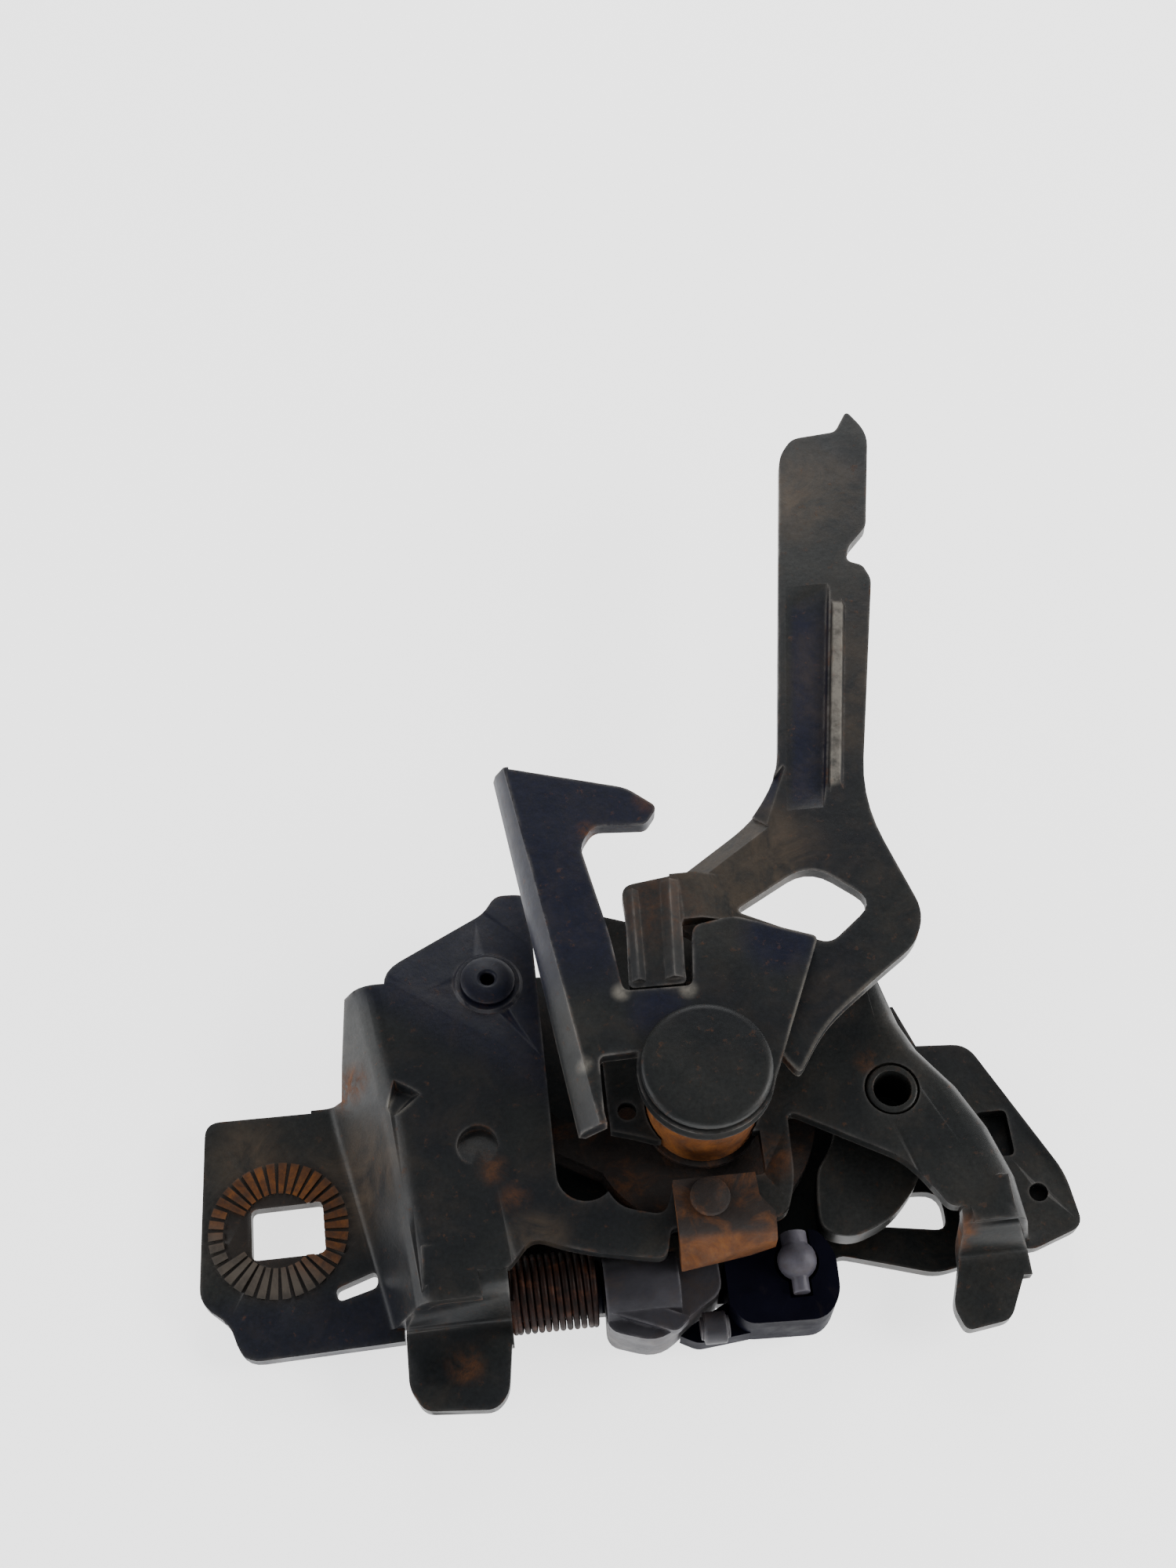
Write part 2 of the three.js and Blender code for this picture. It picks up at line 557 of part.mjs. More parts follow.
// ---- safety catch -------------------------------------------------------------------------
function hookPlate() {
  const top = HOOK_Z + HOOK_T;
  const edge = [[-27, 56.4, 1], [-8, 50.8, 1.5], [-3.4, 46.8, 1.2], [-5.6, 43.8, 1], [-14, 44.4, 1.5],
    [-16.4, 41, 1.5], [-13.4, 25, 2], [-12.4, 15.6, 1.2], [-1.8, 15.4, 1.2], [-0.6, 25.4, 1.5],
    [6, 26.4, 1.5], [18.4, 21.6, 1], [8.4, -1, 2], [4, -4, 2], [-6, -3, 2], [-10.8, 5.6, 1],
    [-17.2, 5.4, 1], [-17.4, -4.6, 0.6], [-18.2, -5, 0.6]];
  const web = plate(edge, HOOK_Z, HOOK_T);
  const hub = disc(...PIVOT, 10.4, HOOK_Z, HOOK_T, 48);
  // upper and lower end of the flange down the left edge, with its run outwards and its drop
  const ends = [[-27.2, 56.6, 1.4, 2.6], [-17.9, -5, 3, 3.4]];
  const flange = loft(ends.map(([x, y, run, drop]) => [
    [x + 0.8, y, top], [x, y, top - 0.1], [x - run, y, top - drop], [x - run - 0.4, y, top - drop - 2],
    [x - run + 0.6, y, top - drop - 2.6], [x + 0.8, y, HOOK_Z],
  ]));
  return cut(union([web, hub, flange]), [disc(...PIVOT, 5.2, 20, 20, 40),
    ...LEVER_RIVETS.map(([x, y]) => disc(x, y, 2, HOOK_Z - 1, 1 + RIVET_SINK + GAP, 20))]);
}

// Wedge that leaves the sheet's edge sloping down from p to q, over a width that changes from w0 to
// w1; the sheet is to the right of p to q.
function edgeSlope(p, q, w0, w1) {
  const top = LEVER_Z + LEVER_T;
  const fall = 0.63;
  const d = new THREE.Vector2(q[0] - p[0], q[1] - p[1]).normalize();
  return loft([[...p, w0], [...q, w1]].map(([x, y, w]) => {
    const section = [[w, top], [w, top + 1], [-w / 2, top + 1], [-w / 2, top - 1.5 * fall * w]];
    return section.map(([u, z]) => [x + d.y * u, y - d.x * u, z]);
  }));
}

// Long pressing in the lever's stem: a sloping valley on the left and a rounded ridge beside it.
function stemPressing() {
  const top = LEVER_Z + LEVER_T;
  const left = (y) => 18.4 + (y - 51.6) * 0.149;
  const foot = (y) => 22.9 + (y - 42.6) * 0.179; // where the ridge rises from the valley
  const valley = loft([[89, 0.02], [85, 1.1], [50, 1.1], [45.5, 0.02]].map(([y, depth]) => [
    [left(y), y, top + 0.6], [foot(y) + 0.6, y, top + 0.6], [foot(y), y, top - depth],
    [left(y), y, top - 0.01],
  ]));
  const ridge = loft([[87.4, -0.6], [84, 0.8], [50, 0.8], [46.6, -0.6]].map(([y, high]) => [
    [foot(y) + 0.2, y, top - 0.9], [foot(y) + 1.1, y, top + high], [foot(y) + 2.5, y, top + high - 0.1],
    [foot(y) + 4.1, y, top - 0.9],
  ]));
  return { valley, ridge };
}

// Low roof-shaped fold between two points on the tab.
function gable([x0, y0], [x1, y1], half) {
  const low = HOOK_Z + HOOK_T - 0.5;
  return loft([[x0, y0], [x1, y1]].map(([x, y]) => [[x - half, y, low], [x, y, low + 1.2],
    [x + half, y, low], [x, y, low - 0.5]]));
}

function safetyLever() {
  const edge = [[17, 52.2, 6], [27.2, 117.4, 3], [30, 121, 1.5], [38, 121.8, 1], [40.8, 126.4, 1.2],
    [43.8, 121, 3], [39.9, 100.4, 1], [36, 96.2, 1.2], [35.3, 93.4, 1], [37.9, 92.2, 0.8],
    [38.9, 89.2, 1.2], [29.8, 46, 8], [36, 25.4, 3], [33.8, 20, 3], [27.2, 15.4, 5], [17.6, 8.2, 8],
    [12.6, 0.6, 2], [11, 3, 2], [5.6, 13, 3], [0.4, 24.6, 3], [-2.2, 26.4, 1], [-2.4, 35.3, 1],
    [11.2, 44.5, 4]];
  const eye = plate([[6.6, 28.6, 1.5], [19.6, 35.8, 4.4], [28.8, 28, 3.6], [20.6, 21.4, 2]],
    LEVER_Z - 1, LEVER_T + 2);
  const slopes = [edgeSlope([11.2, 44.5], [18.2, 53.8], 3, 0.3),
    edgeSlope([-1.2, 36.1], [12.4, 45.3], 3, 3)];
  const stem = stemPressing();
  const body = cut(plate(edge, LEVER_Z, LEVER_T), [eye, ...slopes, stem.valley]).add(stem.ridge);
  const tab = plate([[-10.8, 33.4, 2], [-1.6, 34.6, 1], [-1.6, 27], [-2.6, 25], [-2.6, 16, 1],
    [-11.4, 16, 1], [-10.6, 27, 1]], HOOK_Z, HOOK_T - 0.3);
  const folds = [gable([-3.2, 33.6], [-4.4, 17], 1.7), gable([-9.2, 32.4], [-9.8, 17], 1.3)];
  const high = LEVER_Z + LEVER_T + 2.4;
  const riser = loft([26.9, 34.9].map((y) => [[-3, y, high], [1.2, y, high], [6.6, y, high - 2.5],
    [-3, y, high - 3.2]]));
  const rims = [strip([16.8, 51.2], [11.7, 44.4], 1.6, LEVER_Z - 2, 2.4),
    strip([12, 44.7], [-1.6, 35.6], 1.5, LEVER_Z - 2.1, 2.6)];
  return cut(union([body, tab, ...folds, riser, ...rims]),
    LEVER_RIVETS.map(([x, y]) => disc(x, y, 2, 20, 12, 20)));
}

function leverRivet([x, y]) {
  const low = LEVER_Z - GAP;
  return turned(x, y, [[0, low - 1.2], [2.8, low - 1.2], [3, low], [1.7, low],
    [1.7, HOOK_Z + RIVET_SINK], [0, HOOK_Z + RIVET_SINK]], 20);
}

function catchSpring() {
  const g = wire(new Helix(6.3, 2.5, 1.4), 36, 0.6, 6);
  return solid(g).translate([...PIVOT, FACE_Z + 2.4]);
}

// ---- assembly -----------------------------------------------------------------------------
const STEEL = 0x4a4d4b;
const RUST = 0xa5612c;
const ZINC = 0x8b8f98;
const BLACK = 0x1b1c20;

const group = new THREE.Group();
group.name = "bonnet_latch";
const add = (name, body, color, metalness = 0.8, roughness = 0.5) => {
  const material = new THREE.MeshStandardMaterial({ color, metalness, roughness });
  const mesh = new THREE.Mesh(geometryOf(body.translate([SHIFT, 0, 0])), material);
  mesh.name = name;
  group.add(mesh);
};
add("base_plate", basePlate(), STEEL);
add("back_plate", backPlate(), STEEL);
add("main_stud", mainStud(), STEEL);
add("pivot_collar", pivotCollar(), RUST);
add("collar_washer", collarWasher(), RUST);
add("claw_bush_rear", clawBush(SHEET + GAP, CLAW_Z - GAP), ZINC);
add("claw_bush_front", clawBush(CLAW_Z + CLAW_T + GAP, SEAT_Z), ZINC);
add("claw", claw(), RUST);
add("claw_buffer", clawBuffer(), BLACK, 0, 0.7);
add("pawl", pawl(), STEEL);
add("pawl_stud", pawlStud(), STEEL);
add("pawl_bush", pawlBush(), ZINC);
add("pawl_spring", pawlSpring(), RUST);
add("hollow_rivet", hollowRivet(), STEEL);
add("rivet_spacer", rivetSpacer(), ZINC);
add("stop_bracket", stopBracket(), RUST);
add("stop_rivet", stopRivet(), RUST);
add("coil_spring", coilSpring(), RUST);
add("spring_pin", springPin(), BLACK, 0, 0.6);
add("cable_holder", cableHolder(), ZINC);
add("cable_cover", cableCover(), BLACK, 0, 0.6);
add("cable_nipple", cableNipple(), ZINC);
add("cable_ferrule", cableFerrule(), ZINC);
add("hook_plate", hookPlate(), STEEL);
add("safety_lever", safetyLever(), STEEL);
add("lever_rivet_lower", leverRivet(LEVER_RIVETS[0]), STEEL);
add("lever_rivet_upper", leverRivet(LEVER_RIVETS[1]), STEEL);
add("catch_spring", catchSpring(), RUST);
export default group;
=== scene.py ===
"""Looks of the bonnet latch: materials, rounded edges and two finer coil springs."""
import math

import bpy
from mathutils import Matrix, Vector


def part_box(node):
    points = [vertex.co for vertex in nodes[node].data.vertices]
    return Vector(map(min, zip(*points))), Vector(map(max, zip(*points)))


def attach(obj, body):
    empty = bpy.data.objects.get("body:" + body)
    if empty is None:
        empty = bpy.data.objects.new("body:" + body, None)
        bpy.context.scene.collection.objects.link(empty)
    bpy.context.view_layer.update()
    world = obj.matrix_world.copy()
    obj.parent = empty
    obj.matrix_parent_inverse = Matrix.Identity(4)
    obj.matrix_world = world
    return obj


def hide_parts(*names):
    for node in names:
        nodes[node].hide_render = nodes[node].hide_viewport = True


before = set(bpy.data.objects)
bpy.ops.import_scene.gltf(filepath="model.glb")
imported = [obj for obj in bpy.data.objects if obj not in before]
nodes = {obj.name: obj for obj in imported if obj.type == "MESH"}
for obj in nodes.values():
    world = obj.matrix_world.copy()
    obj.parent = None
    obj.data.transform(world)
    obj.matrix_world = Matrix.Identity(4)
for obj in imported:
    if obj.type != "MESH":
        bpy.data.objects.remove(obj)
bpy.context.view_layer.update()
MM = 0.001

# ---- places read from the frame -----------------------------------------------------------


def centre(node):
    low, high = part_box(node)
    return (low + high) / 2


def shifted(origin, x, y):
    """The place x and y millimetres from origin."""
    return origin + Vector((x, y, 0)) * MM


STUD = centre("main_stud")
PAWL_AXIS = centre("pawl_stud")
base_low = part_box("base_plate")[0]
RING = Vector((base_low.x + 12.3 * MM, STUD.y - 9.4 * MM, 0))  # centre of the left ear's teeth
TEETH_Z = base_low.z + 2.5 * MM  # half-way up those teeth
LEVER_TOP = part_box("safety_lever")[0].z + 4.5 * MM  # the front face of the lever's sheet
BRACKET_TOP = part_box("stop_bracket")[1].z

LEFT, RIGHT = (-1, 0, 0), (1, 0, 0)
LEGWARD, TIPWARD = (0, -1, 0), (0, 1, 0)  # towards the two legs, and towards the lever's tip
REAR, FRONT = (0, 0, -1), (0, 0, 1)

# ---- camera and light ---------------------------------------------------------------------

VIEW_AROUND, VIEW_ABOVE = -6, 60  # degrees, judged from the photograph
CAMERA_PLACE = (-17.0, -110.3, 314.5)  # mm
LENS, SENSOR = 46.8, 36  # mm
NEAR_CLIP, FAR_CLIP = 0.01, 10  # m
SKY, SKY_STRENGTH = (0.95, 0.97, 1, 1), 0.3
FLOOR_SIZE, FLOOR_DROP = 6, 0.0002  # m, the drop keeps the floor clear of the back plate


def add_camera():
    azimuth, elevation = math.radians(VIEW_AROUND), math.radians(VIEW_ABOVE)
    back = Vector((
        math.sin(azimuth) * math.cos(elevation),
        -math.cos(azimuth) * math.cos(elevation),
        math.sin(elevation),
    ))
    data = bpy.data.cameras.new("camera")
    data.sensor_width = SENSOR
    data.lens = LENS
    data.clip_start, data.clip_end = NEAR_CLIP, FAR_CLIP
    camera = bpy.data.objects.new("camera", data)
    camera.location = Vector(CAMERA_PLACE) * MM
    camera.rotation_mode = "QUATERNION"
    camera.rotation_quaternion = (-back).to_track_quat("-Z", "Y")
    bpy.context.scene.collection.objects.link(camera)
    bpy.context.scene.camera = camera


def add_area(name, place, aim, size, power, colour=(1, 1, 1)):
    """A soft box; place, aim and size are in metres and power is in watts."""
    data = bpy.data.lights.new(name, "AREA")
    data.shape = "RECTANGLE"
    data.size, data.size_y = size
    data.energy = power
    data.color = colour
    light = bpy.data.objects.new(name, data)
    light.location = place
    light.rotation_mode = "QUATERNION"
    light.rotation_quaternion = (Vector(aim) - Vector(place)).to_track_quat("-Z", "Y")
    bpy.context.scene.collection.objects.link(light)


def add_lights():
    middle = (0, 0.03, 0.01)
    lever = (0.04, 0.1, 0.03)
    add_area("left_box", (-0.55, 0.06, 0.24), middle, size=(0.4, 0.3), power=1.7)
    add_area("right_box", (0.55, -0.05, 0.3), middle, size=(0.35, 0.3), power=3.4,
             colour=(1, 0.98, 0.95))
    add_area("front_box", (-0.12, -0.62, 0.2), middle, size=(0.6, 0.2), power=1.6,
             colour=(0.96, 0.98, 1))
    add_area("back_box", (0.08, 0.48, 0.3), lever, size=(0.3, 0.25), power=1.1)
    world = bpy.data.worlds.new("studio")
    bpy.context.scene.world = world
    world.use_nodes = True
    background = world.node_tree.nodes["Background"]
    background.inputs["Color"].default_value = SKY
    background.inputs["Strength"].default_value = SKY_STRENGTH


def add_floor():
    """A pale light table, so that the latch stands on white and is lit a little from below."""
    bpy.ops.mesh.primitive_plane_add(size=FLOOR_SIZE, location=(0, 0, -FLOOR_DROP))
    floor = bpy.context.object
    floor.name = "floor"
    material = bpy.data.materials.new("floor_paper")
    material.use_nodes = True
    shader = material.node_tree.nodes["Principled BSDF"]
    looks = {"Base Color": (0.92, 0.92, 0.92, 1), "Roughness": 0.9, "Specular IOR Level": 0.1,
             "Emission Color": (1, 1, 1, 1), "Emission Strength": 1.9}
    for socket, value in looks.items():
        shader.inputs[socket].default_value = value
    floor.data.materials.append(material)


# ---- node material helpers ----------------------------------------------------------------


class Graph:
    """A small writer for one material's node tree. Its distances are in millimetres."""

    def __init__(self, name):
        self.material = bpy.data.materials.new(name)
        self.material.use_nodes = True
        self.tree = self.material.node_tree
        self.shader = self.tree.nodes["Principled BSDF"]
        self.place = self.tree.nodes.new("ShaderNodeTexCoord").outputs["Object"]

    def set(self, node, values):
        """Links the values that are sockets to node's inputs, and writes the rest on them."""
        for key, value in values.items():
            if isinstance(value, bpy.types.NodeSocket):
                self.tree.links.new(value, node.inputs[key])
            else:
                node.inputs[key].default_value = value
        return node

    def noise(self, scale, detail, rough, distort=0.0):
        node = self.tree.nodes.new("ShaderNodeTexNoise")
        self.set(node, {"Vector": self.place, "Scale": scale, "Detail": detail,
                        "Roughness": rough, "Distortion": distort})
        return node.outputs["Fac"]

    def ramp(self, value, *stops):
        """A colour ramp; each stop is a position with a colour or a grey level."""
        node = self.tree.nodes.new("ShaderNodeValToRGB")
        elements = node.color_ramp.elements
        while len(elements) < len(stops):
            elements.new(0.5)
        for element, (position, colour) in zip(elements, stops):
            element.position = position
            if not hasattr(colour, "__len__"):
                colour = (colour, colour, colour)
            element.color = (*colour, 1)
        self.tree.links.new(value, node.inputs["Fac"])
        return node.outputs["Color"]

    def vector(self, operation, a, b, out="Vector"):
        node = self.tree.nodes.new("ShaderNodeVectorMath")
        node.operation = operation
        self.set(node, {0: a, 1: b})
        return node.outputs[out]

    def math(self, operation, a, b, clamp=False):
        node = self.tree.nodes.new("ShaderNodeMath")
        node.operation = operation
        node.use_clamp = clamp
        self.set(node, {0: a, 1: b})
        return node.outputs[0]

    def times(self, first, *rest):
        """The product of masks or numbers."""
        for value in rest:
            first = self.math("MULTIPLY", first, value)
        return first

    def most(self, first, *rest):
        """The highest of several masks."""
        for value in rest:
            first = self.math("MAXIMUM", first, value)
        return first

    def mix(self, factor, a, b, blend="MIX"):
        node = self.tree.nodes.new("ShaderNodeMix")
        node.data_type = "RGBA"
        node.blend_type = blend
        for socket, value in ((node.inputs[0], factor), (node.inputs[6], a), (node.inputs[7], b)):
            if isinstance(value, bpy.types.NodeSocket):
                self.tree.links.new(value, socket)
            else:
                socket.default_value = (*value, 1) if hasattr(value, "__len__") else value
        return node.outputs[2]

    def edge(self, radius, sharpness):
        """Near 1 on convex and concave edges, 0 on flats."""
        bevel = self.set(self.tree.nodes.new("ShaderNodeBevel"), {"Radius": radius * MM})
        bevel.samples = 4
        normal = self.tree.nodes.new("ShaderNodeNewGeometry").outputs["Normal"]
        likeness = self.vector("DOT_PRODUCT", bevel.outputs[0], normal, "Value")
        off = self.math("SUBTRACT", 1.0, likeness)
        return self.math("MULTIPLY", off, sharpness, clamp=True)

    def smooth(self, value, start, end, low=0.0, high=1.0):
        """A soft step that is low up to start and high from end."""
        span = self.tree.nodes.new("ShaderNodeMapRange")
        span.interpolation_type = "SMOOTHSTEP"
        self.set(span, {"Value": value, "From Min": start, "From Max": end, "To Min": low,
                        "To Max": high})
        return span.outputs[0]

    def near(self, point, inner, outer):
        """1 within inner of an axis through point towards the front, 0 beyond outer."""
        flat = self.vector("MULTIPLY", self.place, (1, 1, 0))
        far = self.vector("DISTANCE", flat, (point[0], point[1], 0), "Value")
        return self.smooth(far, inner * MM, outer * MM, 1.0, 0.0)

    def past(self, point, direction, start, end):
        """0 up to start past point along direction, rising to 1 at end."""
        way = Vector(direction).normalized()
        reach = self.vector("DOT_PRODUCT", self.place, tuple(way), "Value")
        offset = way.dot(Vector(point))
        return self.smooth(reach, offset + start * MM, offset + end * MM)

    def bump(self, height, strength, distance):
        node = self.tree.nodes.new("ShaderNodeBump")
        self.set(node, {"Height": height, "Strength": strength, "Distance": distance * MM})
        return node.outputs[0]

    def finish(self, colour, rough, normal, metallic=0.0, specular=0.5):
        self.set(self.shader, {"Base Color": colour, "Roughness": rough, "Normal": normal,
                               "Metallic": metallic, "Specular IOR Level": specular})
        return self.material


# ---- colours ------------------------------------------------------------------------------

PAINT_DARK = (0.0050, 0.0060, 0.0085)
PAINT_MID = (0.0095, 0.0108, 0.0108)
PAINT_PALE = (0.0200, 0.0205, 0.0190)
# painted blue shade and sky reflection
SHADE_BLUE = (0.0020, 0.0035, 0.0160)
# painted highlight on edges
RIM_HIGHLIGHT = (0.030, 0.030, 0.031)
DUST = (0.078, 0.055, 0.036)
RUST_DARK = (0.035, 0.015, 0.008)
RUST_MID = (0.115, 0.038, 0.008)
RUST_PALE = (0.240, 0.082, 0.014)
RUST_SCALE = (0.030, 0.019, 0.014)
# partly bare steel on worn edges, partly painted highlight
BARE_AND_HIGHLIGHT = (0.26, 0.24, 0.22)
# painted highlight
HIGHLIGHT_PALE = (0.19, 0.175, 0.15)
SOOT = (0.014, 0.011, 0.010)
RING_DARK = (0.020, 0.011, 0.007)
RING_PALE = (0.085, 0.070, 0.056)
BEARING_DARK = (0.10, 0.095, 0.09)
BEARING_PALE = (0.24, 0.23, 0.22)
WIRE_DARK = (0.003, 0.0015, 0.001)
WIRE_MID = (0.014, 0.0045, 0.0025)
WIRE_RUST = (0.075, 0.025, 0.010)
ZINC_DARK = (0.010, 0.0095, 0.013)
ZINC_PALE = (0.036, 0.034, 0.042)
ZINC_DIRT = (0.045, 0.029, 0.020)
ZINC_WORN = (0.30, 0.29, 0.31)
PLASTIC_DARK = (0.0015, 0.0015, 0.004)
PLASTIC_PALE = (0.005, 0.005, 0.012)


# ---- painted steel ------------------------------------------------------------------------
# A noise's numbers are its scale, detail, roughness and distortion. In a mask, each pair given to
# ramp is a level of the noise and how strong the mask is there.


def rust_colour(g):
    tone = g.noise(320, 8, 0.7, 0.4)
    return g.ramp(tone, (0.30, RUST_DARK), (0.50, RUST_MID), (0.72, RUST_PALE))


def dip_coat(g, blue_shade):
    """The coat itself, grainy, with painted blue shade and sky reflection where its mask says, and
    then a painted highlight as a pale rim along the edges.
    """
    broad = g.noise(38, 5, 0.55, 0.3)
    paint = g.ramp(broad, (0.34, PAINT_DARK), (0.52, PAINT_MID), (0.70, PAINT_PALE))
    if blue_shade:
        # painted blue shade and sky reflection where the mask says
        paint = g.mix(g.times(blue_shade(g), 0.92), paint, SHADE_BLUE)
        # painted highlight: a pale rim along the edges
        paint = g.mix(g.times(g.edge(2.2, 3.0), 0.5), paint, RIM_HIGHLIGHT)
    grain = g.ramp(g.noise(1500, 3, 0.7), (0.3, 0.30), (0.7, 0.72))
    return g.mix(0.8, paint, grain, "OVERLAY")


def dusted(g, colour, dust, tan):
    """Adds mottled dust, and more of it where tan's mask says."""
    mottling = g.ramp(g.noise(150, 9, 0.68, 0.6), (0.48, 0.0), (0.72, 1.0))
    colour = g.mix(g.times(mottling, dust), colour, DUST)
    if tan:
        drift = g.ramp(g.noise(110, 9, 0.7, 0.9), (0.36, 0.0), (0.62, 0.75))
        colour = g.mix(g.times(tan(g), drift), colour, DUST)
    return colour


def edge_wear_and_highlights(g, colour, worn, bare_and_highlight, highlight):
    """Adds pale chips along the edges, partly worn paint and partly painted highlight, and painted
    highlights where the last mask says.
    """
    chips_and_glints = g.ramp(g.noise(130, 7, 0.7), (0.42, 0.05), (0.62, 1.0))
    colour = g.mix(g.times(worn, chips_and_glints, bare_and_highlight), colour, BARE_AND_HIGHLIGHT)
    if highlight:
        # painted highlights where the mask says
        glints = g.ramp(g.noise(400, 6, 0.7), (0.34, 0.25), (0.58, 0.9))
        colour = g.mix(g.times(highlight(g), glints), colour, HIGHLIGHT_PALE)
    return colour


def rust_mask(g, worn, rust, spots):
    """Broad patches where their noise is over rust, faint specks, worn edges, and the spots."""
    patches = g.ramp(g.noise(95, 10, 0.72, 0.8), (rust, 0.0), (rust + 0.07, 1.0))
    specks = g.ramp(g.noise(620, 7, 0.7), (0.60, 0.0), (0.68, 1.0))
    edges = g.ramp(g.noise(170, 7, 0.7), (0.56, 0.0), (0.66, 0.8))
    mask = g.most(patches, g.times(specks, 0.3), g.times(worn, edges))
    for point, inner, outer, amount in spots:
        spot = g.ramp(g.noise(260, 9, 0.75, 0.5), (0.40, 0.0), (0.58, amount))
        mask = g.most(mask, g.times(g.near(point, inner, outer), spot))
    return mask


def painted_steel(name, rust, dust, bare_and_highlight, spots=(), blue_shade=None, tan=None, highlight=None, over=None):
    """Black dip coat gone grey, with dust on it, pale edges and rust. The pale edges are partly
    chipped paint and partly painted highlight. A lower rust means more of it. spots are
    (point, inner, outer, amount) patches of heavier rust. The three mask arguments after spots
    take the graph and return the masks for painted blue shade and sky reflection, for where dried
    dust lies thicker, and for painted highlights. over takes the graph and the colour,
    and returns the colour with something more laid on it."""
    g = Graph(name)
    # edge mask: rust gathers on it, and its pale chips are partly painted highlight
    worn = g.edge(0.8, 4.0)
    colour = dusted(g, dip_coat(g, blue_shade), dust, tan)
    colour = edge_wear_and_highlights(g, colour, worn, bare_and_highlight, highlight)
    rusty = rust_mask(g, worn, rust, spots)
    colour = g.mix(g.times(rusty, 0.85), colour, rust_colour(g))
    if over:
        colour = over(g, colour)
    smear = g.ramp(g.noise(210, 6, 0.6), (0.3, 0.38), (0.7, 0.52))
    rough = g.math("ADD", smear, g.times(rusty, 0.32), clamp=True)
    height = g.math("ADD", g.noise(700, 6, 0.6), g.times(rusty, 0.8))
    height = g.math("ADD", height, g.times(g.noise(60, 3, 0.5), 1.5))
    return g.finish(colour, rough, g.bump(height, 0.2, 0.25), specular=0.3)


# ---- other materials ----------------------------------------------------------------------


def rusted_steel(name, dark, kept=0.0, dirty=None, lively=1.0):
    """Iron gone orange and brown. dark is how much scale lies on it, kept widens what is left of
    its coat, lively scales the orange, and dirty takes the graph and returns the mask where old
    grease has turned it near black."""
    g = Graph(name)
    orange = [tuple(c * lively for c in tone) for tone in (RUST_DARK, RUST_MID, RUST_PALE)]
    colour = g.ramp(g.noise(130, 10, 0.72, 0.7), *zip((0.30, 0.48, 0.68), orange))
    scale = g.ramp(g.noise(240, 8, 0.7, 0.4), (0.50 - 0.1 * dark, 0.0), (0.64 - 0.1 * dark, 1.0))
    colour = g.mix(g.times(scale, dark), colour, RUST_SCALE)
    specks = g.ramp(g.noise(700, 5, 0.7), (0.5, 0.0), (0.7, 1.0))
    colour = g.mix(g.times(specks, 0.3), colour, DUST)
    coat = g.ramp(g.noise(60, 8, 0.65, 0.5), (0.66 - kept, 0.0), (0.74 - kept, 1.0))
    colour = g.mix(g.times(coat, 0.85), colour, PAINT_PALE)
    if dirty:
        grime = g.ramp(g.noise(210, 8, 0.7, 0.6), (0.34, 0.35), (0.52, 1.0))
        colour = g.mix(g.times(dirty(g), grime, 0.95), colour, SOOT)
    rough = g.ramp(g.noise(300, 5, 0.6), (0.3, 0.62), (0.7, 0.88))
    height = g.math("ADD", g.noise(900, 8, 0.7), g.times(g.noise(220, 6, 0.7), 1.6))
    return g.finish(colour, rough, g.bump(height, 0.5, 0.3), specular=0.35)


def bearing_steel(name):
    g = Graph(name)
    tone = g.ramp(g.noise(260, 7, 0.65), (0.3, BEARING_DARK), (0.7, BEARING_PALE))
    stain = g.ramp(g.noise(120, 8, 0.7, 0.5), (0.44, 0.0), (0.62, 1.0))
    colour = g.mix(g.times(stain, 0.8), tone, RUST_MID)
    rough = g.ramp(g.noise(400, 4, 0.6), (0.3, 0.34), (0.7, 0.60))
    return g.finish(colour, rough, g.bump(g.noise(900, 5, 0.6), 0.2, 0.2), metallic=0.6)


def spring_wire(name):
    """Dark drawn wire with rust along its length."""
    g = Graph(name)
    tone = g.noise(420, 8, 0.7, 0.3)
    colour = g.ramp(tone, (0.34, WIRE_DARK), (0.54, WIRE_MID), (0.76, WIRE_RUST))
    rough = g.ramp(g.noise(500, 5, 0.6), (0.3, 0.42), (0.7, 0.75))
    normal = g.bump(g.noise(1200, 5, 0.7), 0.35, 0.15)
    return g.finish(colour, rough, normal, metallic=0.1, specular=0.15)


def zinc_casting(name, pale=1.0):
    """Grey die casting, dull and slightly violet, with brown dirt and pale worn edges."""
    g = Graph(name)
    low, high = ([pale * c for c in tone] for tone in (ZINC_DARK, ZINC_PALE))
    tone = g.ramp(g.noise(90, 7, 0.6, 0.3), (0.34, low), (0.68, high))
    dirt = g.ramp(g.noise(190, 9, 0.72, 0.6), (0.48, 0.0), (0.70, 1.0))
    colour = g.mix(g.times(dirt, 0.6), tone, ZINC_DIRT)
    worn = g.ramp(g.noise(260, 6, 0.7), (0.4, 0.1), (0.6, 1.0))
    colour = g.mix(g.times(g.edge(0.8, 2.5), worn, 0.5), colour, ZINC_WORN)
    rough = g.ramp(g.noise(300, 5, 0.6), (0.3, 0.40), (0.7, 0.62))
    normal = g.bump(g.noise(520, 7, 0.65), 0.3, 0.25)
    return g.finish(colour, rough, normal, metallic=0.15, specular=0.4)


def black_plastic(name):
    g = Graph(name)
    tone = g.ramp(g.noise(80, 6, 0.6), (0.35, PLASTIC_DARK), (0.70, PLASTIC_PALE))
    dusty = g.ramp(g.noise(170, 9, 0.7, 0.6), (0.56, 0.0), (0.78, 1.0))
    colour = g.mix(g.times(dusty, 0.12), tone, DUST)
    rough = g.ramp(g.noise(260, 4, 0.6), (0.3, 0.42), (0.7, 0.60))
    return g.finish(colour, rough, g.bump(g.noise(1100, 4, 0.6), 0.15, 0.15), specular=0.03)


# ---- where the coat has painted blue shade, dust or painted highlights, and darker parts ---


